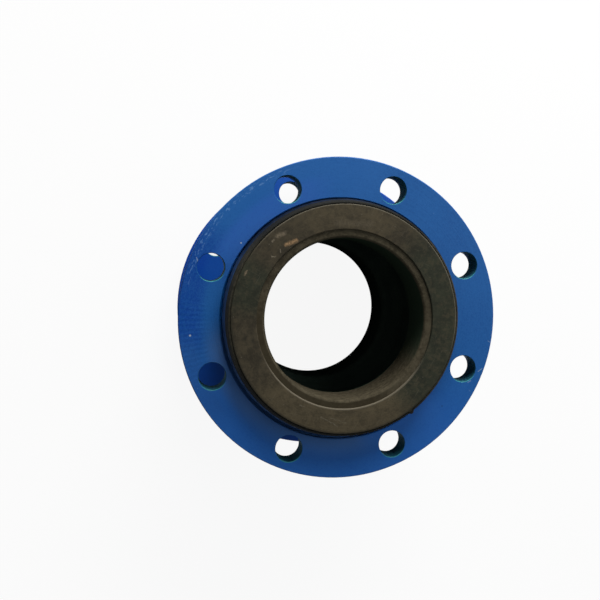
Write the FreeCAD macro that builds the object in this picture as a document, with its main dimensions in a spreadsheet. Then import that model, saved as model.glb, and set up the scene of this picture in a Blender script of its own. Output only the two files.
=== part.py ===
# Flanged rubber expansion joint: one moulded rubber bellows with a single arch,
# carried by two loose steel flanges that hold it behind its end beads.
# Millimetres. The joint stands on its lower sealing face: +Z is the pipe axis and
# z = 0 is that face. The bolt holes of the upper flange straddle the X and Y axes.
import FreeCAD, Part
import math
import os

import Sketcher

# Driving dimensions: alias, value, meaning
SIZES = (
    ("face_length", 180.0, "lower sealing face to upper sealing face"),
    ("bolt_circle_diameter", 241.3, "pitch circle of the bolt holes, 6 inch class 150"),
    ("bolt_hole_diameter", 23.6, "for 3/4 inch bolts, with room to spare"),
    ("bolt_hole_count", 8, "holes in each flange"),
    ("bolt_hole_break", 0.4, "chamfer at both ends of each hole"),
    ("rim_distance", 19.05, "bolt circle out to the outside of the flange"),
    ("flange_thickness", 20.0, "flange face to flange face"),
    ("flange_edge_break", 0.7, "chamfer on the flange's two outer edges"),
    ("seat_land", 4.0, "steel between the bolt holes and the bead seat"),
    ("seat_width", 11.85, "bead seat, from its outer wall in to the flange bore"),
    ("seat_wall_depth", 5.4, "straight wall at the mouth of the bead seat"),
    ("seat_edge_break", 0.6, "chamfer on the rim of the bead seat"),
    ("seat_slope", 30.0, "degrees, cone of the bead seat against the flange face"),
    ("bore_edge_radius", 3.0, "rounding of the flange bore beside the arch"),
    ("neck_width", 24.0, "flange bore in to the water passage"),
    ("bead_stand_off", 17.0, "sealing face proud of the upper flange"),
    ("bead_taper", 4.5, "bead side leans in from the flange to the sealing face"),
    ("seal_edge_radius", 1.4, "rounding of the sealing face's outer edge"),
    ("bead_heel_radius", 2.2, "rounding where the bead turns in behind the flange seat"),
    ("lip_width", 7.3, "mouth lip, from the water passage out to the sealing face"),
    ("lip_depth", 1.6, "lip below the sealing face"),
    ("mouth_radius", 3.0, "rounding of the mouth into the water passage"),
    ("groove_radius", 4.0, "bottom of the groove that holds the flange bore"),
    ("shoulder_radius", 12.0, "outer arc of the arch beside the flange"),
    ("shoulder_inset", 7.0, "centre of the shoulder arc inside the flange bore radius"),
    ("crown_rise", 7.4, "crown of the arch beyond its shoulders"),
    ("arch_wall", 12.0, "rubber and cord plies in the arch"),
    ("hollow_shoulder_radius", 10.0, "arc between the roof and the crown of the hollow"),
    ("hollow_edge_radius", 6.0, "rounding from the water passage into the roof of the hollow"),
    ("fit_gap", 0.3, "least gap between rubber and steel"),
    ("upper_lean", 1.0, "degrees, the loose upper flange leaning in its play"),
    ("upper_lean_side", 72.0, "degrees from X, where the leaning flange is highest"),
    ("upper_float", 1.2, "upper flange off the pipe axis, in its play"),
    ("upper_float_side", 242.0, "degrees from X, where the upper flange has floated to"),
    ("lower_flange_turn", -11.0, "degrees, lower hole pattern turned on its bead"),
)


class Size:
    """A size that knows its value and the expression that follows the sheet."""

    def __init__(self, value, expression):
        self.value = value
        self.expression = expression

    def __add__(self, other):
        return Size(self.value + other.value, f"({self.expression} + {other.expression})")

    def __sub__(self, other):
        return Size(self.value - other.value, f"({self.expression} - {other.expression})")

    def __mul__(self, other):
        return Size(self.value * other.value, f"({self.expression} * {other.expression})")

    def __truediv__(self, other):
        return Size(self.value / other.value, f"({self.expression} / {other.expression})")


def number(value):
    return Size(value, str(value))


def root(size):
    return Size(math.sqrt(size.value), f"sqrt({size.expression})")


def tangent(degrees):
    return Size(math.tan(math.radians(degrees.value)), f"tan({degrees.expression} * 1 deg)")


def sine(degrees):
    return Size(math.sin(math.radians(degrees.value)), f"sin({degrees.expression} * 1 deg)")


def cosine(degrees):
    return Size(math.cos(math.radians(degrees.value)), f"cos({degrees.expression} * 1 deg)")


ZERO = number(0)
TWO = number(2)
LEFT = 1
RIGHT = -1


def make_sheet(doc):
    """The spreadsheet of driving dimensions, and the same sizes by name."""
    sheet = doc.addObject("Spreadsheet::Sheet", "Sizes")
    sizes = {}
    for row, (alias, value, meaning) in enumerate(SIZES, start=1):
        sheet.set(f"A{row}", alias)
        sheet.set(f"B{row}", str(value))
        sheet.set(f"C{row}", meaning)
        sheet.setAlias(f"B{row}", alias)
        sizes[alias] = Size(float(value), f"Sizes.{alias}")
    doc.recompute()
    return sizes


def origin_feature(body, role):
    for feature in body.Origin.OriginFeatures:
        if feature.Role == role:
            return feature
    raise ValueError(f"{body.Label} has no {role}")


def section_sketch(body, name, height=None):
    """A sketch on the XZ plane: x is the radius, y the height above `height`."""
    sketch = body.newObject("Sketcher::SketchObject", name)
    sketch.AttachmentSupport = [(origin_feature(body, "XZ_Plane"), "")]
    sketch.MapMode = "FlatFace"
    if height is not None:
        sketch.setExpression("AttachmentOffset.Base.y", height.expression)
    return sketch


def arc_between(start, end, radius, side):
    """The shorter arc from start to end; side is LEFT or RIGHT, where its centre is."""
    middle = (start + end) / 2
    chord = end - start
    rise = math.sqrt(radius ** 2 - (chord.Length / 2) ** 2)
    across = FreeCAD.Vector(-chord.y, chord.x, 0).normalize() * side
    centre = middle + across * rise
    first = math.atan2(start.y - centre.y, start.x - centre.x)
    last = math.atan2(end.y - centre.y, end.x - centre.x)
    circle = Part.Circle(centre, FreeCAD.Vector(0, 0, 1), radius)
    if side == LEFT:
        return Part.ArcOfCircle(circle, first, last)
    return Part.ArcOfCircle(circle, last, first)


def bind(sketch, constraint, name, size):
    """Adds a constraint and ties it to the sheet."""
    index = sketch.addConstraint(constraint)
    sketch.renameConstraint(index, name)
    sketch.setExpression(f"Constraints.{name}", size.expression)


def draw_outline(sketch, corners, arcs=None):
    """A closed outline. corners: (name, radius, height). arcs: corner name to the
    radius and side of the arc that runs from that corner to the next one."""
    arcs = arcs or {}
    points = [FreeCAD.Vector(across.value, up.value, 0) for _, across, up in corners]
    following = points[1:] + points[:1]
    starts = {}
    for (name, _, _), start, end in zip(corners, points, following):
        if name not in arcs:
            edge = sketch.addGeometry(Part.LineSegment(start, end))
            starts[name] = (edge, 1, 2)
            continue
        radius, side = arcs[name]
        edge = sketch.addGeometry(arc_between(start, end, radius.value, side))
        starts[name] = (edge, 1, 2) if side == LEFT else (edge, 2, 1)
    names = [name for name, _, _ in corners]
    for name, following_name in zip(names, names[1:] + names[:1]):
        edge, _, end_point = starts[name]
        next_edge, next_point, _ = starts[following_name]
        sketch.addConstraint(Sketcher.Constraint("Coincident", edge, end_point, next_edge, next_point))
    for (name, across, up), point in zip(corners, points):
        edge, start_point, _ = starts[name]
        place_point(sketch, name, "DistanceX", edge, start_point, across, point.x)
        place_point(sketch, name, "DistanceY", edge, start_point, up, point.y)
    for name, (radius, _) in arcs.items():
        edge = starts[name][0]
        bind(sketch, Sketcher.Constraint("Radius", edge, radius.value), f"{name}_arc", radius)


def place_point(sketch, name, direction, edge, point, size, value):
    """Holds a corner on the axis or at its distance from it."""
    if size is ZERO:
        axis = -2 if direction == "DistanceX" else -1
        sketch.addConstraint(Sketcher.Constraint("PointOnObject", edge, point, axis))
        return
    suffix = "radius" if direction == "DistanceX" else "height"
    constraint = Sketcher.Constraint(direction, -1, 1, edge, point, value)
    bind(sketch, constraint, f"{name}_{suffix}", size)


def revolve(body, sketch, name):
    feature = body.newObject("PartDesign::Revolution", name)
    feature.Profile = sketch
    feature.ReferenceAxis = (sketch, ["V_Axis"])
    feature.Angle = 360
    return feature


def rings(shape, radius, heights):
    """Names of the circular edges of this radius at one of these heights."""
    found = []
    for index, edge in enumerate(shape.Edges, start=1):
        if not isinstance(edge.Curve, Part.Circle):
            continue
        same_radius = abs(edge.Curve.Radius - radius) < 1e-4
        same_height = any(abs(edge.Curve.Center.z - height) < 1e-4 for height in heights)
        if same_radius and same_height:
            found.append(f"Edge{index}")
    return found


def round_rings(doc, body, name, base, ring_radius, heights, size):
    """Fillets the rings that a corner of the section sweeps out."""
    edges = rings(base.Shape, ring_radius.value, heights)
    if not edges:
        raise ValueError(f"{name}: no edge found")
    fillet = body.newObject("PartDesign::Fillet", name)
    fillet.Base = (base, edges)
    fillet.Radius = size.value
    fillet.setExpression("Radius", size.expression)
    doc.recompute()
    return fillet


def shared_sizes(size):
    """Sizes that the rubber and the flanges have in common, so that they seat. The
    flanges are loose: the gaps leave room for the lean and float of the upper one."""
    slope = size["seat_slope"]
    gap = size["fit_gap"]
    float_off = size["upper_float"]
    lean = sine(size["upper_lean"])
    half_length = size["face_length"] / TWO
    half_thickness = size["flange_thickness"] / TWO
    bolt_circle = size["bolt_circle_diameter"] / TWO
    seat = bolt_circle - size["bolt_hole_diameter"] / TWO - size["seat_land"]
    flange_bore = seat - size["seat_width"]
    flange_front = half_length - size["bead_stand_off"]
    side_gap = gap + float_off + lean * half_thickness
    cone_lean = lean * (seat * cosine(slope) + half_thickness * sine(slope))
    cone_gap = gap + float_off * sine(slope) + cone_lean
    return {
        "half_length": half_length,
        "half_thickness": half_thickness,
        "bolt_circle": bolt_circle,
        "seat": seat,
        "flange_bore": flange_bore,
        "flange_front": flange_front,
        "flange_back": flange_front - size["flange_thickness"],
        "seat_slope": tangent(slope),
        "seat_sine": sine(slope),
        "seat_cosine": cosine(slope),
        "bead": seat - side_gap,
        "side_gap": side_gap,
        "cone_gap": cone_gap / cosine(slope),
        "shoulder_gap": gap + lean * (flange_bore + size["bore_edge_radius"]),
        "bead_play": (cone_gap - gap) / cosine(slope),
    }


def shoulder_arc(size, shared):
    """Centre of the arch's shoulder arc, which lies one shoulder gap clear of the
    rounded edge of the flange bore."""
    edge = size["bore_edge_radius"]
    across = shared["flange_bore"] - size["shoulder_inset"]
    reach = size["shoulder_radius"] + edge + shared["shoulder_gap"]
    aside = edge + size["shoulder_inset"]
    up = shared["flange_back"] + edge - root(reach * reach - aside * aside)
    return across, up


def groove_arc(size, shared, heel, shoulder):
    """Centre of the groove arc, which touches the cone behind the bead and the
    shoulder arc of the arch."""
    slope = shared["seat_slope"]
    lean = shared["seat_cosine"]
    reach = size["shoulder_radius"] + size["groove_radius"]
    drop = size["groove_radius"] / lean
    rise = heel[1] - drop + slope * (shoulder[0] - heel[0]) - shoulder[1]
    aside = lean * lean * (root(reach * reach / (lean * lean) - rise * rise) - slope * rise)
    return shoulder[0] + aside, shoulder[1] + rise + slope * aside


def toward(start, end, share):
    """The point at this share of the way from start to end."""
    return (start[0] + (end[0] - start[0]) * share, start[1] + (end[1] - start[1]) * share)


def make_rubber(doc, size, shared):
    """The moulded rubber body: the upper half's section, revolved and mirrored."""
    body = doc.addObject("PartDesign::Body", "rubber_body")
    body.Label = "rubber_body"
    mid_height = shared["half_length"]
    section = section_sketch(body, "rubber_section", mid_height)

    # Bead, sealing face and mouth
    top = shared["half_length"]
    bore = shared["flange_bore"] - size["neck_width"]
    bead = shared["bead"]
    lip = bore + size["lip_width"]
    lip_height = top - size["lip_depth"]
    cone_top = shared["flange_front"] - size["seat_wall_depth"] + shared["cone_gap"]
    heel = (bead, cone_top - shared["side_gap"] * shared["seat_slope"])

    # Outside of the arch and the groove under the flange bore
    shoulder_radius = size["shoulder_radius"]
    shoulder = shoulder_arc(size, shared)
    rise = size["crown_rise"]
    crown = shoulder[0] + shoulder_radius + rise
    swell = shoulder_radius + rise
    crown_arc = (swell * swell - shoulder_radius * shoulder_radius
                 + shoulder[1] * shoulder[1]) / (TWO * rise)
    crown_centre = (crown - crown_arc, ZERO)
    shoulder_start = toward(crown_centre, shoulder, crown_arc / (crown_arc - shoulder_radius))
    groove_radius = size["groove_radius"]
    groove = groove_arc(size, shared, heel, shoulder)
    groove_start = toward(shoulder, groove, shoulder_radius / (shoulder_radius + groove_radius))
    groove_end = (groove[0] - groove_radius * shared["seat_sine"],
                  groove[1] + groove_radius * shared["seat_cosine"])

    # Hollow of the arch: a flat roof one wall below the shoulder, then two arcs
    wall = size["arch_wall"]
    edge_radius = size["hollow_edge_radius"]
    roof = shoulder[1] + shoulder_radius - wall
    hollow_arc = crown_arc - wall
    corner_arc = size["hollow_shoulder_radius"]
    corner_up = roof - corner_arc
    reach = hollow_arc - corner_arc
    corner_centre = (crown_centre[0] + root(reach * reach - corner_up * corner_up), corner_up)
    hollow_start = toward(crown_centre, corner_centre, hollow_arc / reach)

    corner = {
        "crown": (crown, ZERO),
        "shoulder": shoulder_start,
        "groove": groove_start,
        "bead_back": groove_end,
        "bead_heel": heel,
        "bead_side": (bead, shared["flange_front"]),
        "seal_edge": (bead - size["bead_taper"], top),
        "seal_inner": (lip, top),
        "lip_outer": (lip, lip_height),
        "mouth": (bore, lip_height),
        "bore_end": (bore, roof + edge_radius),
        "roof_inner": (bore + edge_radius, roof),
        "roof_outer": (corner_centre[0], roof),
        "hollow": hollow_start,
        "hollow_crown": (crown - wall, ZERO),
    }
    arcs = {
        "crown": (crown_arc, LEFT),
        "shoulder": (shoulder_radius, LEFT),
        "groove": (groove_radius, RIGHT),
        "bore_end": (edge_radius, LEFT),
        "roof_outer": (corner_arc, RIGHT),
        "hollow": (hollow_arc, RIGHT),
    }
    draw_outline(section, [(name, *place) for name, place in corner.items()], arcs)
    half = revolve(body, section, "upper_half")
    doc.recompute()

    mirrored = body.newObject("PartDesign::Mirrored", "both_halves")
    mirrored.Originals = [half]
    mirrored.MirrorPlane = (section, ["H_Axis"])
    body.Tip = mirrored
    doc.recompute()

    roundings = (
        ("seal_edge_rounding", "seal_edge", "seal_edge_radius"),
        ("bead_heel_rounding", "bead_heel", "bead_heel_radius"),
        ("mouth_rounding", "mouth", "mouth_radius"),
    )
    middle = mid_height.value
    feature = mirrored
    for name, corner_name, radius in roundings:
        across, up = corner[corner_name]
        heights = (middle - up.value, middle + up.value)
        feature = round_rings(doc, body, name, feature, across, heights, size[radius])
    return body


def make_flange(doc, name, size, shared):
    """A flange in its own frame: back face at z = 0, bead seat facing +Z."""
    body = doc.addObject("PartDesign::Body", name)
    body.Label = name
    thickness = size["flange_thickness"]
    outside = shared["bolt_circle"] + size["rim_distance"]
    edge_break = size["flange_edge_break"]
    seat = shared["seat"]
    seat_break = size["seat_edge_break"]
    bore = shared["flange_bore"]
    seat_wall_foot = thickness - size["seat_wall_depth"]
    seat_floor = seat_wall_foot - (seat - bore) * shared["seat_slope"]

    section = section_sketch(body, f"{name}_section")
    draw_outline(section, [
        ("back_outer", outside - edge_break, ZERO),
        ("side_low", outside, edge_break),
        ("side_high", outside, thickness - edge_break),
        ("front_outer", outside - edge_break, thickness),
        ("front_inner", seat + seat_break, thickness),
        ("seat_rim", seat, thickness - seat_break),
        ("seat_wall_foot", seat, seat_wall_foot),
        ("seat_floor", bore, seat_floor),
        ("bore_back", bore, ZERO),
    ])
    ring = revolve(body, section, f"{name}_ring")
    doc.recompute()
    rounded = round_rings(doc, body, f"{name}_bore_edge", ring, bore, (0,), size["bore_edge_radius"])

    # One bolt hole with both its chamfers, cut as a groove about the hole's own axis
    hole_section = section_sketch(body, f"{name}_hole_section")
    axis = shared["bolt_circle"]
    wall = axis + size["bolt_hole_diameter"] / TWO
    hole_break = size["bolt_hole_break"]
    past_face = hole_break
    draw_outline(hole_section, [
        ("axis_low", axis, ZERO - past_face),
        ("flare_low", wall + hole_break + past_face, ZERO - past_face),
        ("wall_low", wall, hole_break),
        ("wall_high", wall, thickness - hole_break),
        ("flare_high", wall + hole_break + past_face, thickness + past_face),
        ("axis_high", axis, thickness + past_face),
    ])
    axis_line = hole_section.addGeometry(
        Part.LineSegment(FreeCAD.Vector(axis.value, 0, 0), FreeCAD.Vector(axis.value, thickness.value, 0)),
        True)
    hole_section.addConstraint(Sketcher.Constraint("Vertical", axis_line))
    place_point(hole_section, "hole_axis", "DistanceX", axis_line, 1, axis, axis.value)
    place_point(hole_section, "hole_axis_low", "DistanceY", axis_line, 1, ZERO, 0)
    place_point(hole_section, "hole_axis_high", "DistanceY", axis_line, 2, thickness, thickness.value)
    doc.recompute()
    hole = body.newObject("PartDesign::Groove", f"{name}_hole")
    hole.Profile = hole_section
    hole.ReferenceAxis = (hole_section, ["Axis0"])
    hole.Angle = 360
    doc.recompute()

    holes = body.newObject("PartDesign::PolarPattern", f"{name}_holes")
    holes.Originals = [hole]
    holes.Axis = (origin_feature(body, "Z_Axis"), [""])
    holes.Angle = 360
    holes.Occurrences = int(size["bolt_hole_count"].value)
    holes.setExpression("Occurrences", size["bolt_hole_count"].expression)
    body.Tip = holes
    doc.recompute()
    if holes.Shape.Volume > rounded.Shape.Volume - hole_volume(size) * size["bolt_hole_count"].value:
        raise ValueError(f"{name}: bolt holes are missing")
    return body


def hole_volume(size):
    """The least that one bolt hole takes out of a flange: its plain cylinder."""
    radius = size["bolt_hole_diameter"].value / 2
    return math.pi * radius ** 2 * size["flange_thickness"].value


def place_lower(flange, size, shared, turn):
    """Rolls the flange over and rests its seat on the lower bead."""
    height = shared["half_length"] - shared["flange_back"] - shared["bead_play"]
    position = f"vector(0mm; 0mm; {height.expression} * 1 mm)"
    rotation = f"rotation({turn.expression} * 1 deg; 0 deg; 180 deg)"
    flange.setExpression("Placement", f"placement({position}; {rotation})")


def place_upper(flange, size, shared, turn):
    """Leans the flange about its own middle and floats it off the pipe axis."""
    side = size["upper_float_side"]
    across = size["upper_float"] * cosine(side)
    along = size["upper_float"] * sine(side)
    height = shared["half_length"] + shared["flange_back"] + shared["half_thickness"]
    high_side = size["upper_lean_side"]
    middle = f"vector({across.expression} * 1 mm; {along.expression} * 1 mm; {height.expression} * 1 mm)"
    lean = f"rotation({high_side.expression} * 1 deg; -{size['upper_lean'].expression} * 1 deg; 0 deg)"
    back = f"vector(0mm; 0mm; -{shared['half_thickness'].expression} * 1 mm)"
    spin = f"rotation({(turn - high_side).expression} * 1 deg; 0 deg; 0 deg)"
    flange.setExpression("Placement", f"placement({middle}; {lean}) * placement({back}; {spin})")


def check(doc, bodies):
    """Stops on any failed feature and on any solid that isn't sound."""
    for item in doc.Objects:
        if "Invalid" in item.State or "Error" in item.State:
            raise ValueError(f"{item.Name}: {item.State}")
    for body in bodies:
        shape = body.Shape
        if shape.isNull() or not shape.isValid() or len(shape.Solids) != 1:
            raise ValueError(f"{body.Label} is not one sound solid")


def main():
    doc = FreeCAD.newDocument("expansion_joint")
    size = make_sheet(doc)
    shared = shared_sizes(size)

    rubber = make_rubber(doc, size, shared)
    upper = make_flange(doc, "upper_flange", size, shared)
    lower = make_flange(doc, "lower_flange", size, shared)

    half_pitch = number(180) / size["bolt_hole_count"]
    place_upper(upper, size, shared, half_pitch)
    place_lower(lower, size, shared, half_pitch + size["lower_flange_turn"])
    doc.recompute()

    bodies = (rubber, upper, lower)
    check(doc, bodies)
    os.makedirs("parts", exist_ok=True)
    for body in bodies:
        body.Shape.exportStep(f"parts/{body.Label}.step")
        box = body.Shape.BoundBox
        print(body.Label, round(body.Shape.Volume), "mm3",
              "z", round(box.ZMin, 3), round(box.ZMax, 3), "width", round(box.XLength, 3))


main()
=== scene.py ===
"""Looks, floor, lights and camera for a flanged rubber expansion joint.

The joint stands on its lower sealing face at z = 0, with the pipe axis along +Z. Sizes
are in millimetres in the names below and become metres where a mesh or a node takes
them. The two steel flanges are the CAD nodes with an enamel material. The rubber is
turned here as a finer mesh on the same section, so that its rounded edges, its parting
line and its moulding flaws are real shape.
"""

import math

import bmesh
import bpy
from mathutils import Matrix, Vector


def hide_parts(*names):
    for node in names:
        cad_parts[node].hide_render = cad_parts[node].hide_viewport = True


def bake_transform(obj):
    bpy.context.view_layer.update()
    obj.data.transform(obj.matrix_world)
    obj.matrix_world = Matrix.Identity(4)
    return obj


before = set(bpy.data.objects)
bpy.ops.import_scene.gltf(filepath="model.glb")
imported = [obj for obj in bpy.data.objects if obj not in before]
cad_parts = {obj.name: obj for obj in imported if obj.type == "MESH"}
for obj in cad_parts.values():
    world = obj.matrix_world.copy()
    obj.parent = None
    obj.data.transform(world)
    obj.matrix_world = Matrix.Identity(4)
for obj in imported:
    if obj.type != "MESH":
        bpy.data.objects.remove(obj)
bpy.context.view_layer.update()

MM = 0.001

# Sizes of the rubber, with the values of the part's source. Only the rounding of the
# mouth is a little smaller here, and the lip's edges are rounded only here.
FACE_LENGTH = 180.0
SEAT_RADIUS = 104.85
SEAT_WALL_DEPTH = 5.4
SEAT_SLOPE = math.radians(30)
FLANGE_BORE_RADIUS = 93.0
FLANGE_THICKNESS = 20.0
BORE_EDGE_RADIUS = 3.0
NECK_RADIUS = 69.0
BEAD_STAND_OFF = 17.0
BEAD_TAPER = 4.5
BEAD_HEEL_RADIUS = 2.2
LIP_WIDTH = 7.3
LIP_DEPTH = 1.6
LIP_EDGE_RADIUS = 0.4
MOUTH_RADIUS = 2.6
GROOVE_RADIUS = 4.0
SHOULDER_RADIUS = 12.0
SHOULDER_INSET = 7.0
CROWN_RISE = 7.4
ARCH_WALL = 12.0
HOLLOW_SHOULDER_RADIUS = 10.0
HOLLOW_EDGE_RADIUS = 6.0

# Gaps round the rubber, with room for the lean and float of the loose flanges
FIT_GAP = 0.3
FLANGE_LEAN = math.sin(math.radians(1.0))
FLANGE_FLOAT = 1.2
SIDE_GAP = FIT_GAP + FLANGE_FLOAT + FLANGE_LEAN * FLANGE_THICKNESS / 2
CONE_LEAN = SEAT_RADIUS * math.cos(SEAT_SLOPE) + FLANGE_THICKNESS / 2 * math.sin(SEAT_SLOPE)
CONE_PLAY = FLANGE_FLOAT * math.sin(SEAT_SLOPE) + FLANGE_LEAN * CONE_LEAN
CONE_GAP = (FIT_GAP + CONE_PLAY) / math.cos(SEAT_SLOPE)
SHOULDER_GAP = FIT_GAP + FLANGE_LEAN * (FLANGE_BORE_RADIUS + BORE_EDGE_RADIUS)

HALF_LENGTH = FACE_LENGTH / 2
FLANGE_FRONT = HALF_LENGTH - BEAD_STAND_OFF
BEAD_RADIUS = SEAT_RADIUS - SIDE_GAP
SEAL_EDGE = BEAD_RADIUS - BEAD_TAPER
LIP_RADIUS = NECK_RADIUS + LIP_WIDTH

# The rim of the sealing face: the edge of the face, a fine groove and a sloping ledge
# outside it, then the parting line of the mould on the tapered side of the bead
FACE_EDGE = SEAL_EDGE - 1.3
FACE_EDGE_RADIUS = 0.35
RIM_GROOVE = 0.45
LEDGE_PROUD = 0.9
LEDGE_DROP = 1.2
LEDGE_SLOPE = math.radians(15)
LEDGE_RADIUS = 0.8
PARTING_SHARE = 0.45
PARTING_WIDTH = 0.9
PARTING_PROUD = 0.12

# The scrap of flash left on the rim of the upper face
FLASH_ANGLE = math.radians(-54.5)
FLASH_LENGTH = 1.5
FLASH_PROUD = 2.6
FLASH_BELOW_FACE = 1.2
FLASH_HEIGHT = 1.0
FLASH_DEPTH = 4.0

# Fineness of the mesh: steps round the axis, the largest step along an arc of the
# section, and the angle from which an edge is shaded sharp
TURNS = 360
ARC_STEP = math.radians(7)
SHARP_EDGE = math.radians(35)

# Sizes of the flanges, for the marks in their enamel
ENAMEL_TOP = FACE_LENGTH - BEAD_STAND_OFF
FLANGE_RADIUS = 139.7
BOLT_CIRCLE_RADIUS = 120.65
HOLE_RADIUS = 11.8
HOLE_PITCH = math.radians(45)

# Where the lower edge of a bolt hole lies in the view, as an angle about the hole, where the enamel
# has a painted highlight
LOW_EDGE = math.radians(-84)

# The upper flange leans and floats in its play, so its marks are centred on its own axis
UPPER_CENTRE = (-0.62, -1.23)
PIPE_AXIS = (0.0, 0.0)

# Camera: a 45 mm lens on a 36 mm sensor, almost along the pipe axis
CAMERA_PLACE = Vector((-143.46, 52.07, 795.65)) * MM
CAMERA_TARGET = Vector((-36.63, 16.25, 163.0)) * MM
CAMERA_ROLL = math.radians(0.31)
CAMERA_LENS = 45
CAMERA_SENSOR = 36

# The sky gives a soft light. The view and reflections see it pale up to a height, as the
# sine of the elevation, and fading out above: a strength of 1 is white.
SKY_COLOUR = (0.93, 0.97, 1.0)
SKY_STRENGTH = 0.2
PALE_SKY = 0.93
PALE_SKY_TOP = 0.42
PALE_SKY_END = 0.75

# The floor, in metres. It is darker for the light that it throws back than for the view,
# where a share of it glows, so that it stays pale round the shadow.
FLOOR_HALF_WIDTH = 4.0
FLOOR_DROP = 0.0003
FLOOR_BOUNCE = (0.20, 0.21, 0.20)
FLOOR_SEEN = (0.80, 0.80, 0.80)
FLOOR_GLOW = 0.92

# What the lamps face
LAMP_AIM = Vector((0, 0, 0.15))


# Section of the rubber

class Section:
    """Half of the rubber's section as points (radius, height above the middle), with
    the zone of rubber that each run between two points belongs to."""

    def __init__(self, start):
        self.points = [start]
        self.zones = []

    def line(self, end, zone):
        self.points.append(end)
        self.zones.append(zone)

    def arc(self, centre, radius, first, last, zone):
        """An arc from angle first to angle last about centre."""
        pieces = max(2, math.ceil(abs(last - first) / ARC_STEP))
        for piece in range(pieces + 1):
            angle = first + (last - first) * piece / pieces
            point = (centre[0] + radius * math.cos(angle), centre[1] + radius * math.sin(angle))
            if math.dist(point, self.points[-1]) > 1e-3:
                self.line(point, zone)

    def corner(self, corner, towards, radius, zone):
        """A line up to a corner that is rounded on the way towards the next point."""
        here = Vector(self.points[-1])
        turn_point = Vector(corner)
        back = (here - turn_point).normalized()
        ahead = (Vector(towards) - turn_point).normalized()
        half = back.angle(ahead) / 2
        reach = radius / math.tan(half)
        centre = turn_point + (back + ahead).normalized() * (radius / math.sin(half))
        start = turn_point + back * reach
        end = turn_point + ahead * reach
        first = math.atan2(start.y - centre.y, start.x - centre.x)
        last = math.atan2(end.y - centre.y, end.x - centre.x)
        if last - first > math.pi:
            last -= 2 * math.pi
        if first - last > math.pi:
            last += 2 * math.pi
        self.line(tuple(start), zone)
        self.arc(tuple(centre), radius, first, last, zone)


def direction(start, end):
    """The angle at which one point lies from another."""
    return math.atan2(end[1] - start[1], end[0] - start[0])


def rubber_section():
    """The upper half of the section: from the crown up the outside of the arch, round
    the bead, over the sealing face and down the water passage into the hollow."""
    slope = math.tan(SEAT_SLOPE)
    heel_height = FLANGE_FRONT - SEAT_WALL_DEPTH + CONE_GAP - SIDE_GAP * slope
    shoulder = (FLANGE_BORE_RADIUS - SHOULDER_INSET, shoulder_height())
    crown = shoulder[0] + SHOULDER_RADIUS + CROWN_RISE
    swell = SHOULDER_RADIUS + CROWN_RISE
    crown_arc = (swell ** 2 - SHOULDER_RADIUS ** 2 + shoulder[1] ** 2) / (2 * CROWN_RISE)
    crown_centre = (crown - crown_arc, 0)
    groove = groove_centre((BEAD_RADIUS, heel_height), shoulder)
    cone_turn = math.pi / 2 + SEAT_SLOPE

    section = Section((crown, 0))
    to_shoulder = direction(crown_centre, shoulder)
    section.arc(crown_centre, crown_arc, 0, to_shoulder, "arch")
    section.arc(shoulder, SHOULDER_RADIUS, to_shoulder, direction(shoulder, groove), "arch")
    back_to_shoulder = direction(groove, shoulder) + 2 * math.pi
    section.arc(groove, GROOVE_RADIUS, back_to_shoulder, cone_turn, "bead")
    section.corner((BEAD_RADIUS, heel_height), (BEAD_RADIUS, FLANGE_FRONT), BEAD_HEEL_RADIUS, "bead")
    section.line((BEAD_RADIUS, FLANGE_FRONT), "bead")
    add_rim(section)
    lip_height = HALF_LENGTH - LIP_DEPTH
    section.corner((LIP_RADIUS, HALF_LENGTH), (LIP_RADIUS, lip_height), LIP_EDGE_RADIUS, "face")
    section.corner((LIP_RADIUS, lip_height), (NECK_RADIUS, lip_height), LIP_EDGE_RADIUS, "face")
    section.corner((NECK_RADIUS, lip_height), (NECK_RADIUS, 0), MOUTH_RADIUS, "mouth")
    add_hollow(section, shoulder, crown_centre, crown_arc)
    return section


def add_rim(section):
    """The tapered side with its parting line, the ledge and the groove round the face."""
    ledge = (SEAL_EDGE + LEDGE_PROUD, HALF_LENGTH - LEDGE_DROP)
    groove_outer = FACE_EDGE + 2 * RIM_GROOVE
    groove_top = ledge[1] + math.tan(LEDGE_SLOPE) * (ledge[0] - groove_outer)
    add_parting_line(section, ledge)
    section.corner(ledge, (groove_outer, groove_top), LEDGE_RADIUS, "shoulder")
    section.line((groove_outer, groove_top), "shoulder")
    section.line((FACE_EDGE + RIM_GROOVE, groove_top - RIM_GROOVE), "shoulder")
    section.line((FACE_EDGE, groove_top - RIM_GROOVE), "shoulder")
    section.corner((FACE_EDGE, HALF_LENGTH), (LIP_RADIUS, HALF_LENGTH), FACE_EDGE_RADIUS, "face")


def add_parting_line(section, top):
    """A low ridge across the tapered side of the bead, where the mould parted."""
    foot = Vector((BEAD_RADIUS, FLANGE_FRONT))
    run = Vector(top) - foot
    along = run.normalized()
    outward = Vector((along.y, -along.x))
    middle = foot + run * PARTING_SHARE
    section.line(tuple(middle - along * PARTING_WIDTH / 2), "bead")
    section.line(tuple(middle + outward * PARTING_PROUD), "bead")
    section.line(tuple(middle + along * PARTING_WIDTH / 2), "bead")


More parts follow.
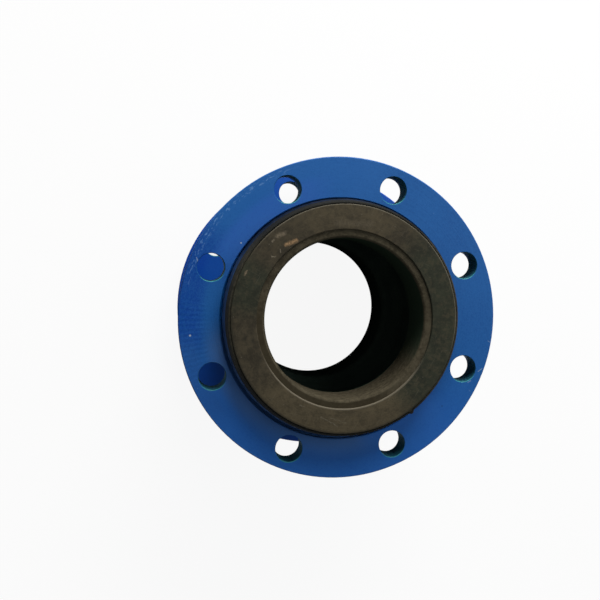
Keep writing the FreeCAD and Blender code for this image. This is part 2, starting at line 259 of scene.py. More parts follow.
def add_hollow(section, shoulder, crown_centre, crown_arc):
    """The water passage below the mouth, the roof of the hollow and its outer wall."""
    roof = shoulder[1] + SHOULDER_RADIUS - ARCH_WALL
    hollow_arc = crown_arc - ARCH_WALL
    reach = hollow_arc - HOLLOW_SHOULDER_RADIUS
    corner_up = roof - HOLLOW_SHOULDER_RADIUS
    corner = (crown_centre[0] + math.sqrt(reach ** 2 - corner_up ** 2), corner_up)
    section.line((NECK_RADIUS, roof + HOLLOW_EDGE_RADIUS), "mouth")
    edge = (NECK_RADIUS + HOLLOW_EDGE_RADIUS, roof + HOLLOW_EDGE_RADIUS)
    section.arc(edge, HOLLOW_EDGE_RADIUS, math.pi, 1.5 * math.pi, "bore")
    to_corner = direction(crown_centre, corner)
    section.line((corner[0], roof), "bore")
    section.arc(corner, HOLLOW_SHOULDER_RADIUS, math.pi / 2, to_corner, "bore")
    section.arc(crown_centre, hollow_arc, to_corner, 0, "bore")


def shoulder_height():
    """Height of the shoulder arc's centre, one gap clear of the flange bore's edge."""
    reach = SHOULDER_RADIUS + BORE_EDGE_RADIUS + SHOULDER_GAP
    aside = BORE_EDGE_RADIUS + SHOULDER_INSET
    flange_back = FLANGE_FRONT - FLANGE_THICKNESS
    return flange_back + BORE_EDGE_RADIUS - math.sqrt(reach ** 2 - aside ** 2)


def groove_centre(heel, shoulder):
    """Centre of the groove arc, which touches the bead's cone and the shoulder arc."""
    slope = math.tan(SEAT_SLOPE)
    lean = math.cos(SEAT_SLOPE)
    reach = (SHOULDER_RADIUS + GROOVE_RADIUS) / lean
    rise = heel[1] - GROOVE_RADIUS / lean + slope * (shoulder[0] - heel[0]) - shoulder[1]
    aside = lean * lean * (math.sqrt(reach ** 2 - rise ** 2) - slope * rise)
    return shoulder[0] + aside, shoulder[1] + rise + slope * aside


def turned_mesh(name, section, zones):
    """Revolves the section and its mirror image about Z into one closed mesh."""
    points = section.points + [(r, -h) for r, h in reversed(section.points[1:-1])]
    runs = section.zones + list(reversed(section.zones))
    mesh = bpy.data.meshes.new(name)
    form = bmesh.new()
    columns = []
    for turn in range(TURNS):
        angle = 2 * math.pi * turn / TURNS
        across = Vector((math.cos(angle), math.sin(angle), 0))
        columns.append([
            form.verts.new((across * r + Vector((0, 0, h + HALF_LENGTH))) * MM) for r, h in points
        ])
    for column, following in zip(columns, columns[1:] + columns[:1]):
        for index, zone in enumerate(runs):
            above = (index + 1) % len(points)
            corners = (column[index], following[index], following[above], column[above])
            face = form.faces.new(corners)
            face.material_index = zones.index(zone)
            face.smooth = True
    bmesh.ops.recalc_face_normals(form, faces=form.faces)
    form.to_mesh(mesh)
    form.free()
    mesh.set_sharp_from_angle(angle=SHARP_EDGE)
    return mesh


def add_flash(mesh):
    """A scrap of mould flash left standing on the outer edge of the upper face."""
    for vertex in mesh.vertices:
        place = vertex.co / MM
        radius = math.hypot(place.x, place.y)
        if place.z < FACE_LENGTH - FLASH_DEPTH or radius < FACE_EDGE - 0.1:
            continue
        aside = (math.atan2(place.y, place.x) - FLASH_ANGLE) * radius
        swell = math.exp(-(aside / FLASH_LENGTH) ** 2)
        height = math.exp(-((place.z - FACE_LENGTH + FLASH_BELOW_FACE) / FLASH_HEIGHT) ** 2)
        outward = Vector((place.x, place.y, 0)).normalized()
        vertex.co += outward * FLASH_PROUD * swell * height * MM


# Materials

class Graph:
    """A node tree, built one named step at a time. Colours are given as three numbers."""

    def __init__(self, tree):
        self.tree = tree
        tree.nodes.clear()

    def add(self, kind, inputs=None, **settings):
        node = self.tree.nodes.new(kind)
        for key, value in settings.items():
            setattr(node, key, value)
        for key, value in (inputs or {}).items():
            self.put(node.inputs[key], value)
        return node

    def put(self, socket, value):
        if isinstance(value, bpy.types.NodeSocket):
            self.tree.links.new(value, socket)
        elif socket.type == "RGBA":
            socket.default_value = (*value, 1)
        else:
            socket.default_value = value

    def maths(self, operation, *values):
        return self.add("ShaderNodeMath", dict(enumerate(values)), operation=operation).outputs[0]

    def times(self, first, *others):
        """All values multiplied."""
        for other in others:
            first = self.maths("MULTIPLY", first, other)
        return first

    def plus(self, first, *others):
        """All values added up."""
        for other in others:
            first = self.maths("ADD", first, other)
        return first

    def minus(self, first, second):
        return self.maths("SUBTRACT", first, second)

    def larger(self, first, second):
        return self.maths("MAXIMUM", first, second)

    def weighted(self, *terms):
        """The sum of values, each given with its weight."""
        return self.plus(*(self.times(value, weight) for value, weight in terms))

    def vector(self, operation, first, second):
        """Maths with two vectors. A distance or a dot product is a number."""
        node = self.add("ShaderNodeVectorMath", {0: first, 1: second}, operation=operation)
        return node.outputs["Value" if operation in ("DISTANCE", "DOT_PRODUCT") else "Vector"]

    def scaled(self, vector, factor):
        """A vector or a colour times a factor."""
        node = self.add("ShaderNodeVectorMath", {0: vector, "Scale": factor}, operation="SCALE")
        return node.outputs[0]

    def combine(self, x, y, z=0.0):
        return self.add("ShaderNodeCombineXYZ", {"X": x, "Y": y, "Z": z}).outputs[0]

    def ramp(self, value, low, high, out_low=0.0, out_high=1.0):
        """A smooth step: out_low below low, out_high above high."""
        node = self.add("ShaderNodeMapRange", {
            "Value": value, "From Min": low, "From Max": high,
            "To Min": out_low, "To Max": out_high,
        }, interpolation_type="SMOOTHSTEP")
        return node.outputs["Result"]

    def fall(self, value, low, high):
        """A smooth step down: 1 below low, 0 above high."""
        return self.ramp(value, low, high, 1.0, 0.0)

    def band(self, value, outer_low, inner_low, inner_high, outer_high):
        """1 between the inner limits, 0 beyond the outer ones."""
        rise = self.ramp(value, outer_low, inner_low)
        return self.times(rise, self.fall(value, inner_high, outer_high))

    def mix(self, factor, first, second):
        """The first colour where the factor is 0, the second where it is 1."""
        node = self.add("ShaderNodeMix", {0: factor, 6: first, 7: second}, data_type="RGBA")
        return node.outputs[2]

    def tint(self, base, colour, mask, strength=1.0):
        """The base turned towards another colour where the mask is 1, up to a strength."""
        factor = mask if strength == 1.0 else self.times(mask, strength)
        return self.mix(factor, base, colour)

    def noise(self, vector, scale, detail, roughness, distortion=0.0):
        node = self.add("ShaderNodeTexNoise", {
            "Vector": vector, "Scale": scale, "Detail": detail,
            "Roughness": roughness, "Distortion": distortion,
        })
        return node.outputs[0]

    def seen(self):
        """1 for what the camera sees, also in a reflection or through glass."""
        path = self.add("ShaderNodeLightPath").outputs
        direct = self.larger(path["Is Camera Ray"], path["Is Glossy Ray"])
        return self.larger(direct, path["Is Transmission Ray"])


class Coat(Graph):
    """The material of a turned piece. It knows each point's place in millimetres and its
    radius, its height and its angle in radians about the piece's own axis."""

    def __init__(self, name, centre=PIPE_AXIS):
        self.material = bpy.data.materials.new(name)
        self.material.use_nodes = True
        super().__init__(self.material.node_tree)
        own = self.add("ShaderNodeTexCoord").outputs["Object"]
        in_mm = self.vector("MULTIPLY", own, (1000, 1000, 1000))
        self.place = self.vector("SUBTRACT", in_mm, (*centre, 0))
        x, y, self.height = self.add("ShaderNodeSeparateXYZ", {0: self.place}).outputs
        self.radius = self.maths("SQRT", self.plus(self.times(x, x), self.times(y, y)))
        self.angle = self.maths("ARCTAN2", y, x)

    def turned_noise(self, per_radius, per_angle, scale, detail, roughness, distortion=0.0):
        """Noise that changes by the given amounts along the radius and round the axis."""
        spread = self.combine(self.times(self.radius, per_radius), self.times(self.angle, per_angle))
        return self.noise(spread, scale, detail, roughness, distortion)

    def sector(self, middle, half_width, fade):
        """1 within half_width of an angle, in degrees, fading out beyond it."""
        turned = self.minus(self.angle, math.radians(middle))
        away = self.maths("ABSOLUTE", self.maths("WRAP", turned, math.pi, -math.pi))
        return self.fall(away, math.radians(half_width), math.radians(half_width + fade))

    def shaken(self, scale, reach):
        """The place moved to and fro by a noise, so that shapes drawn there turn ragged."""
        noise = self.add("ShaderNodeTexNoise", {"Vector": self.place, "Scale": scale, "Detail": 2.0})
        centred = self.vector("SUBTRACT", noise.outputs["Color"], (0.5, 0.5, 0.5))
        return self.vector("ADD", self.place, self.vector("MULTIPLY", centred, (reach, reach, 0)))

    def near(self, target, size):
        """1 close to a place, 0 from the given distance on, in millimetres."""
        return self.fall(self.vector("DISTANCE", self.place, target), size * 0.6, size)

    def stroke(self, place, start, end, width):
        """1 along the middle of a stroke between two places, 0 beyond its width."""
        run = Vector(end) - Vector(start)
        offset = self.vector("SUBTRACT", place, start)
        along = self.vector("DOT_PRODUCT", offset, tuple(run))
        share = self.add("ShaderNodeMapRange", {
            "Value": along, "From Min": 0.0, "From Max": run.length_squared,
        }).outputs["Result"]
        gap = self.vector("DISTANCE", offset, self.scaled(tuple(run), share))
        return self.fall(gap, 0.0, width * 0.5)

    def scratches(self, bearing, spacing, length, rarity):
        """Fine long scratches along one bearing, in degrees, which also picks the noise."""
        turn = math.radians(bearing)
        along = self.vector("DOT_PRODUCT", self.place, (math.cos(turn), math.sin(turn), 0))
        across = self.vector("DOT_PRODUCT", self.place, (-math.sin(turn), math.cos(turn), 0))
        stretched = self.combine(self.maths("DIVIDE", along, length),
                                 self.maths("DIVIDE", across, spacing), bearing)
        return self.ramp(self.noise(stretched, 1.0, 1.0, 0.5), rarity, rarity + 0.03)

    def specks(self, place, spacing, size, share):
        """Small round specks in a share of the cells of a given spacing."""
        cells = self.add("ShaderNodeTexVoronoi", {"Vector": place, "Scale": 1.0 / spacing})
        colour = self.add("ShaderNodeSeparateColor", {"Color": cells.outputs["Color"]})
        chosen = self.maths("LESS_THAN", colour.outputs[0], share)
        spot = self.fall(cells.outputs["Distance"], size / spacing * 0.5, size / spacing)
        return self.times(spot, chosen)

    def bump(self, height, strength, depth=0.12):
        """The normal over a relief of the given depth in millimetres."""
        node = self.add("ShaderNodeBump", {
            "Height": height, "Distance": depth * MM, "Strength": strength,
        })
        return node.outputs["Normal"]

    def surface(self, **inputs):
        """The finished material. Underscores stand for the spaces in its socket names."""
        names = {key.replace("_", " "): value for key, value in inputs.items()}
        shader = self.add("ShaderNodeBsdfPrincipled", names)
        self.add("ShaderNodeOutputMaterial", {"Surface": shader.outputs[0]})
        return self.material


def polar(radius, degrees, height):
    """A place on a part in millimetres."""
    angle = math.radians(degrees)
    return (radius * math.cos(angle), radius * math.sin(angle), height)


def blue_enamel(name, centre, first_hole, marked):
    """Satin blue enamel over turned steel: fine concentric tool marks under the paint,
    a drier, deeper brushed band at the rim and, on the marked flange, nicks and specks.
    Painted light on it: lighter blue on parts of the flange, painted shade and a painted
    highlight at the bolt holes, and a brighter blue on the lower flange."""
    coat = Coat(name, centre)
    cloud = coat.noise(coat.place, 0.028, 3.0, 0.6)
    rings = coat.turned_noise(1.0, 0.6, 1.1, 4.0, 0.7)
    brushed = coat.turned_noise(0.9, 22.0, 0.55, 3.0, 0.6, 0.6)
    fine = coat.noise(coat.place, 0.7, 4.0, 0.7)

    base = coat.mix(coat.ramp(cloud, 0.3, 0.7), (0.0065, 0.083, 0.292), (0.0095, 0.096, 0.318))
    base = coat.tint(base, (0.004, 0.062, 0.245), coat.ramp(rings, 0.35, 0.65, 0.0, 0.30))
    base = coat_by_side(coat, base, brushed)
    if marked:
        base = tone_patches_and_painted_light(coat, base)
    base = coat.tint(base, (0.016, 0.112, 0.350), coat.ramp(fine, 0.38, 0.66, 0.0, 0.40))
    base = coat.tint(base, (0.003, 0.055, 0.220), coat.ramp(fine, 0.30, 0.50, 0.30, 0.0))
    if marked:
        base = worn_rim(coat, base)
        base = nicks(coat, base)
    else:
        # Painted light: the lower flange, which stands in shade, gets a brighter, deeper blue.
        base = coat.mix(0.6, base, (0.0010, 0.050, 0.385))

    gap, low = nearest_hole(coat, first_hole)
    # Painted shade with a painted reflection of a green floor: the bolt-hole walls are dark teal.
    hole_wall_shade = coat.fall(gap, HOLE_RADIUS + 0.1, HOLE_RADIUS + 0.3)
    base = coat.tint(base, (0.0048, 0.066, 0.100), hole_wall_shade)
    # Painted highlight: a pale teal glint along the edge of each bolt hole on its lower side in the
    # view.
    edge = coat.band(gap, HOLE_RADIUS, HOLE_RADIUS + 0.2, HOLE_RADIUS + 0.5, HOLE_RADIUS + 0.8)
    edge = coat.times(edge, coat.ramp(low, 0.45, 0.95))
    base = coat.tint(base, (0.045, 0.290, 0.290), edge, 0.75)

    gloss = coat.ramp(cloud, 0.3, 0.7, 0.38, 0.48)
    gloss = coat.plus(gloss, coat.times(hole_wall_shade, 0.45))
    gloss = coat.larger(gloss, coat.ramp(coat.radius, FLANGE_RADIUS - 0.8, FLANGE_RADIUS - 0.3))
    normal = coat.bump(enamel_relief(coat, rings, brushed), 0.6)
    return coat.surface(Base_Color=base, Roughness=gloss, Normal=normal, Specular_IOR_Level=0.2)


def coat_by_side(coat, base, brushed):
    """The broad changes of the enamel from side to side of the flange: a deeper brushed
    band, lighter blue towards the top, and painted light on the lower side, as a lighter
    blue and a lighter, greyer slate in the collar's shadow.
    """
    deep = coat.times(coat.sector(166.0, 19.0, 11.0), coat.ramp(coat.radius, 114.0, 126.0))
    streaks = coat.ramp(brushed, 0.36, 0.66, 1.0, 0.75)
    base = coat.tint(base, (0.0004, 0.042, 0.262), coat.times(deep, streaks))
    base = coat.tint(base, (0.014, 0.104, 0.345), coat.sector(109.0, 27.0, 20.0), 0.8)
    # Painted light: a lighter blue on the lower side of the flange.
    base = coat.tint(base, (0.014, 0.101, 0.395), coat.sector(262.0, 48.0, 30.0), 0.8)
    # Painted light: a lighter, greyer slate where the collar's shadow falls on the enamel.
    slate = coat.times(coat.sector(236.0, 40.0, 20.0), coat.fall(coat.radius, 104.0, 126.0))
    return coat.tint(base, (0.051, 0.130, 0.318), slate, 0.85)


def tone_patches_and_painted_light(coat, base):
    """Soft patches of lighter or deeper blue. The lighter ones by the collar, at 300 and
    208 degrees, are painted light that lightens the shade beside the bead.
    """
    # Angle of the middle, half width and fade in degrees, the radius where the patch
    # begins to show and the one where it is full, colour, strength
    patches = (
        (128.0, 18.0, 22.0, 128.0, 118.0, (0.025, 0.101, 0.416), 0.6),
        # The next two rows are painted light in the shade beside the bead.
        (300.0, 12.0, 14.0, 124.0, 106.0, (0.022, 0.135, 0.500), 0.7),
        (208.0, 12.0, 14.0, 122.0, 104.0, (0.065, 0.165, 0.430), 0.7),
        (202.0, 10.0, 12.0, 120.0, 130.0, (0.013, 0.072, 0.270), 0.7),
    )
    for middle, half_width, fade, faint_radius, full_radius, colour, strength in patches:
        mask = coat.times(coat.sector(middle, half_width, fade),
                          coat.ramp(coat.radius, faint_radius, full_radius))
        base = coat.tint(base, colour, mask, strength)
    return base


def worn_rim(coat, base):
    """Pale dry brush strokes along one stretch of the rim."""
    strokes = coat.turned_noise(0.75, 34.0, 0.9, 4.0, 0.65)
    stretch = coat.times(coat.band(coat.radius, 132.0, 135.0, 137.4, 138.6),
                         coat.sector(138.0, 20.0, 14.0))
    pale = coat.times(stretch, coat.ramp(strokes, 0.53, 0.62))
    return coat.tint(base, (0.11, 0.25, 0.52), pale, 0.70)


def nicks(coat, base):
    """Pale dashes and chips along the rim, chips and dark specks by the bolt holes."""
    # Radius and angle of both ends, width
    dashes = (
        (135.4, 120.2, 137.2, 123.6, 0.9),
        (136.5, 129.8, 136.3, 131.0, 0.9),
        (136.0, 134.6, 136.6, 136.7, 0.9),
        (134.6, 138.5, 134.4, 139.2, 0.8),
        (137.8, 140.0, 137.7, 142.4, 1.0),
        (138.0, 145.8, 137.4, 147.4, 1.0),
        (135.9, 152.9, 135.8, 153.8, 0.9),
        (134.9, 156.2, 131.2, 157.9, 1.2),
        (131.0, 157.7, 129.3, 158.7, 1.4),
        (139.1, 170.4, 139.1, 172.0, 0.7),
        (139.1, 174.0, 139.1, 176.6, 0.7),
        (138.9, 317.4, 138.7, 318.6, 1.3),
        (133.5, 317.0, 133.2, 317.8, 1.0),
        (133.4, 309.2, 133.2, 310.4, 0.8),
        (134.6, 330.8, 136.1, 330.6, 1.3),
        (130.2, 333.2, 132.1, 334.3, 1.3),
        (135.0, 338.6, 137.6, 340.2, 0.9),
        (136.4, 350.8, 138.0, 350.6, 1.3),
        (136.6, 7.8, 137.9, 7.5, 1.1),
    )
    # Radius, angle, size
    chips = (
        (108.7, 142.4, 1.1),
        (135.6, 242.1, 1.3),
        (130.1, 184.9, 1.5),
        (123.4, 339.1, 0.8),
        (130.9, 159.6, 0.9),
    )
    specks = (
        (109.5, 318.5, 0.9),
        (121.7, 319.3, 1.2),
        (128.7, 218.8, 0.8),
        (136.1, 223.5, 0.8),
        (112.0, 300.0, 0.6),
    )
    for first_radius, first, last_radius, last, width in dashes:
        start = polar(first_radius, first, ENAMEL_TOP)
        end = polar(last_radius, last, ENAMEL_TOP)
        base = coat.tint(base, (0.40, 0.50, 0.58), coat.stroke(coat.place, start, end, width), 0.7)
    for radius, degrees, size in chips:
        chip = coat.near(polar(radius, degrees, ENAMEL_TOP), size)
        base = coat.tint(base, (0.46, 0.50, 0.50), chip, 0.75)
    for radius, degrees, size in specks:
        speck = coat.near(polar(radius, degrees, ENAMEL_TOP), size)
        base = coat.tint(base, (0.003, 0.010, 0.030), speck)
    dust = coat.specks(coat.place, 9.0, 0.38, 0.30)
    return coat.tint(base, (0.20, 0.30, 0.42), dust, 0.5)


def nearest_hole(coat, first_hole):
    """The distance from the axis of the nearest bolt hole, and how far towards the lower
    edge of that hole in the view, as a share of its radius."""
    turned = coat.minus(coat.angle, math.radians(first_hole))
    folded = coat.maths("WRAP", turned, HOLE_PITCH / 2, -HOLE_PITCH / 2)
    along = coat.times(coat.radius, coat.maths("COSINE", folded))
    across = coat.minus(along, BOLT_CIRCLE_RADIUS)
    aside = coat.times(coat.radius, coat.maths("SINE", folded))
    gap = coat.maths("SQRT", coat.plus(coat.times(across, across), coat.times(aside, aside)))
    bearing = coat.minus(coat.minus(coat.angle, folded), LOW_EDGE)
    low = coat.minus(coat.times(across, coat.maths("COSINE", bearing)),
                     coat.times(aside, coat.maths("SINE", bearing)))
    return gap, coat.maths("DIVIDE", low, HOLE_RADIUS)


def enamel_relief(coat, rings, brushed):
    """Tool marks and brush marks under an orange peel, with chatter along one stretch."""
    chatter = coat.times(coat.maths("SINE", coat.times(coat.angle, 190.0)), 0.4)
    stretch = coat.times(coat.sector(190.0, 12.0, 12.0), coat.ramp(coat.radius, 110.0, 122.0))
    orange_peel = coat.noise(coat.place, 0.9, 2.0, 0.5)
    return coat.plus(coat.times(rings, 1.2), coat.times(chatter, stretch),
                     coat.times(brushed, 0.35), coat.times(orange_peel, 0.4))


def dusty_face(name):
    """The matte sealing face and lip: black rubber under brownish dust, with fine scratches,
    specks and a few scuffs. Painted light makes it lighter and browner at the bottom and
    the top, and painted shade darker and greener at the right and at one place on the left."""
    coat = Coat(name)
    blotches = coat.noise(coat.place, 0.055, 4.0, 0.6, 0.6)
    mottle = coat.noise(coat.place, 0.22, 5.0, 0.7, 0.3)
    grain = coat.noise(coat.place, 0.65, 4.0, 0.7)
    rubbed = coat.turned_noise(1.0, 2.5, 1.3, 4.0, 0.65)
    cover = coat.weighted((blotches, 0.6), (rubbed, 0.3), (mottle, 0.6), (grain, 0.4))

    # Painted light and shade: lighter, browner rubber at the bottom and the top, darker, greener
    # rubber at the right and at one place on the left.
    painted_light_sides = coat.larger(coat.sector(264.0, 34.0, 22.0),
                        coat.times(coat.sector(88.0, 14.0, 22.0), 0.6))
    painted_shade_sides = coat.larger(coat.sector(-4.0, 40.0, 22.0), coat.sector(161.0, 7.0, 14.0))
    base = coat.mix(painted_light_sides, (0.0365, 0.0305, 0.0192), (0.0600, 0.0485, 0.0285))
    base = coat.tint(base, (0.0222, 0.0245, 0.0155), painted_shade_sides)
    base = coat.scaled(base, coat.ramp(cover, 0.76, 1.14, 0.66, 1.38))
    base = coat.tint(base, (0.0560, 0.0440, 0.0270), coat.ramp(mottle, 0.46, 0.64, 0.0, 0.35))
    base = face_edges(coat, base, rubbed)

    # Bearing in degrees, rarity
    for bearing, rarity in ((58.0, 0.70), (-28.0, 0.71), (8.0, 0.72)):
        scratches = coat.scratches(bearing, 0.7, 16.0, rarity)
        base = coat.tint(base, (0.13, 0.115, 0.085), scratches, 0.22)
    pale = coat.specks(coat.place, 6.0, 0.42, 0.28)
    base = coat.tint(base, (0.16, 0.145, 0.115), pale, 0.55)
    pits = coat.specks(coat.vector("ADD", coat.place, (31.0, 31.0, 31.0)), 5.0, 0.6, 0.30)
    base = coat.tint(base, (0.010, 0.010, 0.008), pits, 0.6)
    base = scuffs(coat, base, grain)

    normal = coat.bump(coat.weighted((rubbed, 0.6), (grain, 0.8), (mottle, 1.2)), 0.6)
    matte = coat.ramp(cover, 0.76, 1.14, 0.62, 0.86)
    return coat.surface(Base_Color=base, Roughness=matte, Normal=normal, Specular_IOR_Level=0.14)


def face_edges(coat, base, rubbed):
    """The outer edge of the face, with a painted highlight, partly pale dust, on one side and
    painted shade on the other, the painted shadow line beside the lip and a painted
    highlight on the corner of the lip."""
    # Painted highlight, partly pale dust: a lighter edge of the face on the side towards the key
    # light.
    pale = coat.times(coat.ramp(coat.radius, FACE_EDGE - 1.1, FACE_EDGE - 0.5),
                      coat.ramp(rubbed, 0.30, 0.55, 0.4, 1.0), coat.sector(62.0, 62.0, 25.0))
    base = coat.tint(base, (0.120, 0.108, 0.080), pale, 0.80)
    # Painted shade: a darker edge of the face on the side away from the key light.
    dark = coat.times(coat.ramp(coat.radius, FACE_EDGE - 2.2, FACE_EDGE - 0.6),
                      coat.sector(250.0, 62.0, 20.0))
    base = coat.tint(base, (0.015, 0.0145, 0.009), dark, 0.60)
    shadow = coat.band(coat.radius, LIP_RADIUS - 1.3, LIP_RADIUS - 0.8,
                       LIP_RADIUS - 0.5, LIP_RADIUS - 0.3)
    base = coat.tint(base, (0.010, 0.010, 0.007), shadow, 0.55)
    # Painted highlight on the corner of the lip, on the side that faces the key light.
    lip_corner_highlight = coat.band(coat.radius, LIP_RADIUS - 0.5, LIP_RADIUS - 0.2,
                      LIP_RADIUS + 0.6, LIP_RADIUS + 1.2)
    lip_corner_highlight = coat.times(lip_corner_highlight, coat.sector(268.0, 46.0, 24.0))
    return coat.tint(base, (0.112, 0.098, 0.071), lip_corner_highlight, 0.9)


def scuffs(coat, base, grain):
    """Tan and pale smears, dark rubs and scratches on the upper face, as soft strokes."""
    # Radius and angle of both ends, width, colour, strength
    smears = (
        (81.2, 128.6, 78.8, 122.4, 5.2, (0.380, 0.235, 0.120), 0.75),
        (91.2, 129.8, 89.6, 125.6, 5.4, (0.205, 0.165, 0.115), 0.60),
        (90.8, 132.4, 90.5, 133.6, 2.6, (0.230, 0.190, 0.140), 0.60),
        (81.4, 95.0, 83.2, 75.0, 10.0, (0.112, 0.092, 0.062), 0.40),
        (87.6, 189.6, 85.8, 188.2, 6.5, (0.012, 0.012, 0.009), 0.70),
        (81.2, 191.6, 80.0, 190.4, 4.0, (0.014, 0.014, 0.010), 0.60),
        (80.2, 138.2, 82.6, 139.6, 1.8, (0.240, 0.205, 0.150), 0.80),
        (81.9, 133.0, 79.3, 134.3, 1.4, (0.220, 0.185, 0.135), 0.65),
        (93.6, 153.4, 93.7, 155.8, 2.2, (0.250, 0.185, 0.125), 0.75),
        (85.0, 255.0, 90.9, 265.3, 1.2, (0.150, 0.135, 0.100), 0.45),
        (84.2, 259.8, 88.2, 269.4, 1.1, (0.150, 0.135, 0.100), 0.40),
        (81.1, 244.0, 81.7, 240.5, 1.2, (0.150, 0.135, 0.100), 0.45),
        (73.3, 64.5, 73.7, 64.9, 2.0, (0.220, 0.200, 0.160), 0.85),
    )
    ragged = coat.ramp(grain, 0.40, 0.58, 0.45, 1.0)
    place = coat.shaken(0.55, 2.2)
    for first_radius, first, last_radius, last, width, colour, strength in smears:
        start = polar(first_radius, first, FACE_LENGTH)
        end = polar(last_radius, last, FACE_LENGTH)
        mask = coat.times(coat.stroke(place, start, end, width), ragged)
        base = coat.tint(base, colour, mask, strength)
    return base


def dusty_mouth(name):
    """The wall inside the mouth: dusty all round just below the lip, and lower down dusty
    only on the side that faces the key light, which is painted light; elsewhere greenish
    dark, a painted reflection of a green floor.
    """
    coat = Coat(name)
    mottle = coat.noise(coat.place, 0.25, 5.0, 0.7, 0.3)
    grain = coat.noise(coat.place, 1.1, 3.0, 0.6)
    rings = coat.noise(coat.combine(coat.height, coat.times(coat.angle, 1.5)), 0.9, 3.0, 0.6)
    cover = coat.weighted((mottle, 0.6), (rings, 0.4))

    # Painted light: the dust reaches down the wall only on the side that faces the key light.
    down_wall = coat.ramp(coat.plus(coat.height, coat.times(mottle, 8.0)), 126.0, 132.0)
    key_lit_side = coat.times(coat.sector(262.0, 58.0, 30.0), down_wall)
    dust_and_painted_light = coat.larger(key_lit_side, coat.ramp(coat.height, 175.8, 177.6))
    dust = coat.scaled((0.0560, 0.0480, 0.0320), coat.ramp(cover, 0.38, 0.62, 0.60, 1.25))
    # Painted reflection: the greenish dark colour of the wall stands for a reflected green floor.
    bare = coat.mix(coat.ramp(coat.height, 60.0, 110.0),
                    (0.034, 0.050, 0.040), (0.031, 0.047, 0.031))
    base = coat.mix(dust_and_painted_light, bare, dust)
    ledge = coat.times(coat.ramp(coat.radius, NECK_RADIUS + 1.4, NECK_RADIUS + 2.6),
                       coat.sector(236.0, 52.0, 24.0))
    base = coat.tint(base, (0.030, 0.0245, 0.0150), ledge, 0.75)

    normal = coat.bump(coat.weighted((grain, 0.6), (mottle, 1.0)), 0.5)
    return coat.surface(Base_Color=base, Roughness=0.85, Normal=normal, Specular_IOR_Level=0.0)


def dusty_ledge(name):
    """The ledge outside the sealing face, dusty in patches over bare rubber."""
    coat = Coat(name)
    mottle = coat.noise(coat.place, 0.3, 4.0, 0.65, 0.3)
    grain = coat.noise(coat.place, 1.2, 3.0, 0.6)
    base = coat.mix(coat.ramp(mottle, 0.35, 0.65, 0.2, 0.9),
                    (0.012, 0.013, 0.009), (0.040, 0.036, 0.026))
    bare = coat.larger(coat.sector(92.0, 38.0, 22.0), coat.sector(256.0, 44.0, 22.0))
    base = coat.tint(base, (0.0050, 0.0055, 0.0050), bare, 0.90)
    normal = coat.bump(grain, 0.5)
    return coat.surface(Base_Color=base, Roughness=0.75, Normal=normal, Specular_IOR_Level=0.12)


def bead_overspray_and_reflection(name):
    """The glossy side of the bead, navy, with a film of blue on one side: partly overspray
    from the flange and partly a painted reflection of the blue flange.
    """
    coat = Coat(name)
    cloud = coat.noise(coat.place, 0.09, 4.0, 0.6)
    grain = coat.noise(coat.place, 1.2, 3.0, 0.6)
    # Overspray and painted reflection: a navy base and a blue film on one side stand partly for the
    # blue flange reflected in the rubber.
    overspray_and_reflection = coat.times(coat.sector(198.0, 32.0, 32.0), coat.ramp(cloud, 0.30, 0.60, 0.6, 1.0))
    base = coat.mix(coat.ramp(cloud, 0.38, 0.68), (0.004, 0.009, 0.022), (0.008, 0.014, 0.030))
    base = coat.tint(base, (0.040, 0.085, 0.200), overspray_and_reflection, 0.9)
    normal = coat.bump(grain, 0.4, depth=0.10)
    gloss = coat.ramp(cloud, 0.3, 0.7, 0.34, 0.46)
    return coat.surface(Base_Color=base, Roughness=gloss, Normal=normal, Specular_IOR_Level=0.22)


def moulded_rubber(name, colour, worn, low_gloss, high_gloss, specular):
    """Black moulded rubber: a faint bloom in clouds, fine mould texture, rings."""
    coat = Coat(name)
    cloud = coat.noise(coat.place, 0.05, 4.0, 0.6)
    grain = coat.noise(coat.place, 1.2, 3.0, 0.6)
    along = coat.combine(coat.height, coat.times(coat.radius, 0.6), coat.angle)
    rings = coat.noise(along, 0.9, 3.0, 0.6)
    bloom = coat.weighted((cloud, 0.7), (rings, 0.3))
    base = coat.mix(coat.ramp(bloom, 0.38, 0.68), colour, worn)
    normal = coat.bump(coat.weighted((grain, 0.6), (rings, 0.5)), 0.5)
    gloss = coat.ramp(cloud, 0.3, 0.7, low_gloss, high_gloss)
    return coat.surface(Base_Color=base, Roughness=gloss, Normal=normal, Specular_IOR_Level=specular)


def rubber_materials():
    """The zones of the rubber, in the order of the mesh's material slots."""
    return {
        "arch": moulded_rubber("rubber_arch", (0.011, 0.011, 0.010), (0.020, 0.019, 0.017),
                               0.42, 0.58, specular=0.5),
        "bead": bead_overspray_and_reflection("rubber_bead_side"),
        "shoulder": dusty_ledge("rubber_ledge"),
        "face": dusty_face("rubber_dusty_face"),
        "mouth": dusty_mouth("rubber_mouth"),
        # Painted reflection: the greenish colours inside stand for a reflected green floor.
        "bore": moulded_rubber("rubber_bore", (0.034, 0.050, 0.040), (0.046, 0.066, 0.052),
                               0.8, 0.9, specular=0.0),
    }


def floor_material():
    """A pale studio floor that stays pale in the view and still takes the shadow."""
    material = bpy.data.materials.new("pale_floor")
    material.use_nodes = True
    graph = Graph(material.node_tree)
    seen = graph.seen()
    colour = graph.mix(seen, FLOOR_BOUNCE, FLOOR_SEEN)
    matte = graph.add("ShaderNodeBsdfDiffuse", {"Color": colour})
    glow = graph.add("ShaderNodeEmission", {"Color": (1, 1, 1), "Strength": 1.0})
    share = graph.times(seen, FLOOR_GLOW)
    both = graph.add("ShaderNodeMixShader", {0: share, 1: matte.outputs[0], 2: glow.outputs[0]})
    graph.add("ShaderNodeOutputMaterial", {"Surface": both.outputs[0]})
    return material


# Pieces

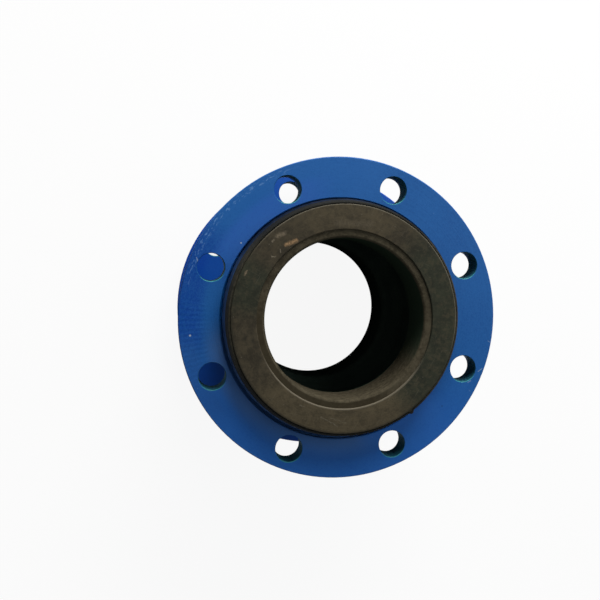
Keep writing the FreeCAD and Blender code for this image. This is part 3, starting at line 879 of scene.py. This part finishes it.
def make_rubber():
    """The rubber, in place of its CAD node, with its arch between the two flanges."""
    materials = rubber_materials()
    zones = list(materials)
    mesh = turned_mesh("rubber_bellows", rubber_section(), zones)
    add_flash(mesh)
    for zone in zones:
        mesh.materials.append(materials[zone])
    rubber = bpy.data.objects.new("rubber_bellows", mesh)
    bpy.context.scene.collection.objects.link(rubber)
    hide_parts("rubber_body")
    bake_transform(rubber)


def paint_flange(node, material):
    """Gives a CAD flange its enamel."""
    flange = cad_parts[node]
    flange.data.materials.clear()
    flange.data.materials.append(material)


def make_floor():
    """A wide floor just below the lower sealing face."""
    half = FLOOR_HALF_WIDTH
    corners = [(-half, -half), (half, -half), (half, half), (-half, half)]
    mesh = bpy.data.meshes.new("floor")
    mesh.from_pydata([(x, y, -FLOOR_DROP) for x, y in corners], [], [(0, 1, 2, 3)])
    mesh.materials.append(floor_material())
    floor = bpy.data.objects.new("floor", mesh)
    bpy.context.scene.collection.objects.link(floor)


# Lights and camera

def add_lamp(name, bearing, elevation, distance, size, power, colour):
    """A soft box that faces the joint from a bearing and an elevation in degrees."""
    turn = math.radians(bearing)
    rise = math.radians(elevation)
    away = Vector((math.cos(turn) * math.cos(rise), math.sin(turn) * math.cos(rise), math.sin(rise)))
    light = bpy.data.lights.new(name, "AREA")
    light.shape = "DISK"
    light.size = size
    light.energy = power
    light.color = colour
    lamp = bpy.data.objects.new(name, light)
    lamp.location = LAMP_AIM + away * distance
    lamp.rotation_euler = away.to_track_quat("Z", "Y").to_euler()
    bpy.context.scene.collection.objects.link(lamp)


def set_world():
    """A soft sky for the light. It looks pale near the horizon, where low views and
    reflections meet it, so that the pale floor has no dark edge."""
    world = bpy.data.worlds.new("studio")
    world.use_nodes = True
    graph = Graph(world.node_tree)
    sky = graph.add("ShaderNodeBackground", {"Color": SKY_COLOUR, "Strength": SKY_STRENGTH})
    pale = graph.add("ShaderNodeBackground", {"Color": (1, 1, 1), "Strength": PALE_SKY})
    ray = graph.add("ShaderNodeTexCoord").outputs["Generated"]
    upward = graph.add("ShaderNodeSeparateXYZ", {0: ray}).outputs["Z"]
    share = graph.times(graph.seen(), graph.fall(upward, PALE_SKY_TOP, PALE_SKY_END))
    both = graph.add("ShaderNodeMixShader", {0: share, 1: sky.outputs[0], 2: pale.outputs[0]})
    graph.add("ShaderNodeOutputWorld", {"Surface": both.outputs[0]})
    bpy.context.scene.world = world


def set_camera():
    forward = (CAMERA_TARGET - CAMERA_PLACE).normalized()
    level_up = (Vector((0, 1, 0)) - forward * forward.y).normalized()
    level_right = forward.cross(level_up)
    up = level_up * math.cos(CAMERA_ROLL) + level_right * math.sin(CAMERA_ROLL)
    right = forward.cross(up)
    camera = bpy.data.cameras.new("camera")
    camera.lens = CAMERA_LENS
    camera.sensor_width = CAMERA_SENSOR
    camera.sensor_fit = "HORIZONTAL"
    camera.clip_start = 0.01
    holder = bpy.data.objects.new("camera", camera)
    turn = Matrix((right, up, -forward)).transposed().to_4x4()
    holder.matrix_world = Matrix.Translation(CAMERA_PLACE) @ turn
    bpy.context.scene.collection.objects.link(holder)
    bpy.context.scene.camera = holder


make_rubber()
upper_enamel = blue_enamel("blue_enamel_upper", UPPER_CENTRE, first_hole=22.5, marked=True)
lower_enamel = blue_enamel("blue_enamel_lower", PIPE_AXIS, first_hole=11.5, marked=False)
paint_flange("upper_flange", upper_enamel)
paint_flange("lower_flange", lower_enamel)
make_floor()
set_world()
add_lamp("key_light", bearing=76, elevation=18, distance=1.9, size=1.35,
         power=66.0, colour=(1.0, 0.98, 0.95))
add_lamp("fill_light", bearing=20, elevation=50, distance=1.9, size=1.4,
         power=9.5, colour=(0.95, 0.98, 1.0))
set_camera()
bpy.context.scene.view_settings.view_transform = "Standard"
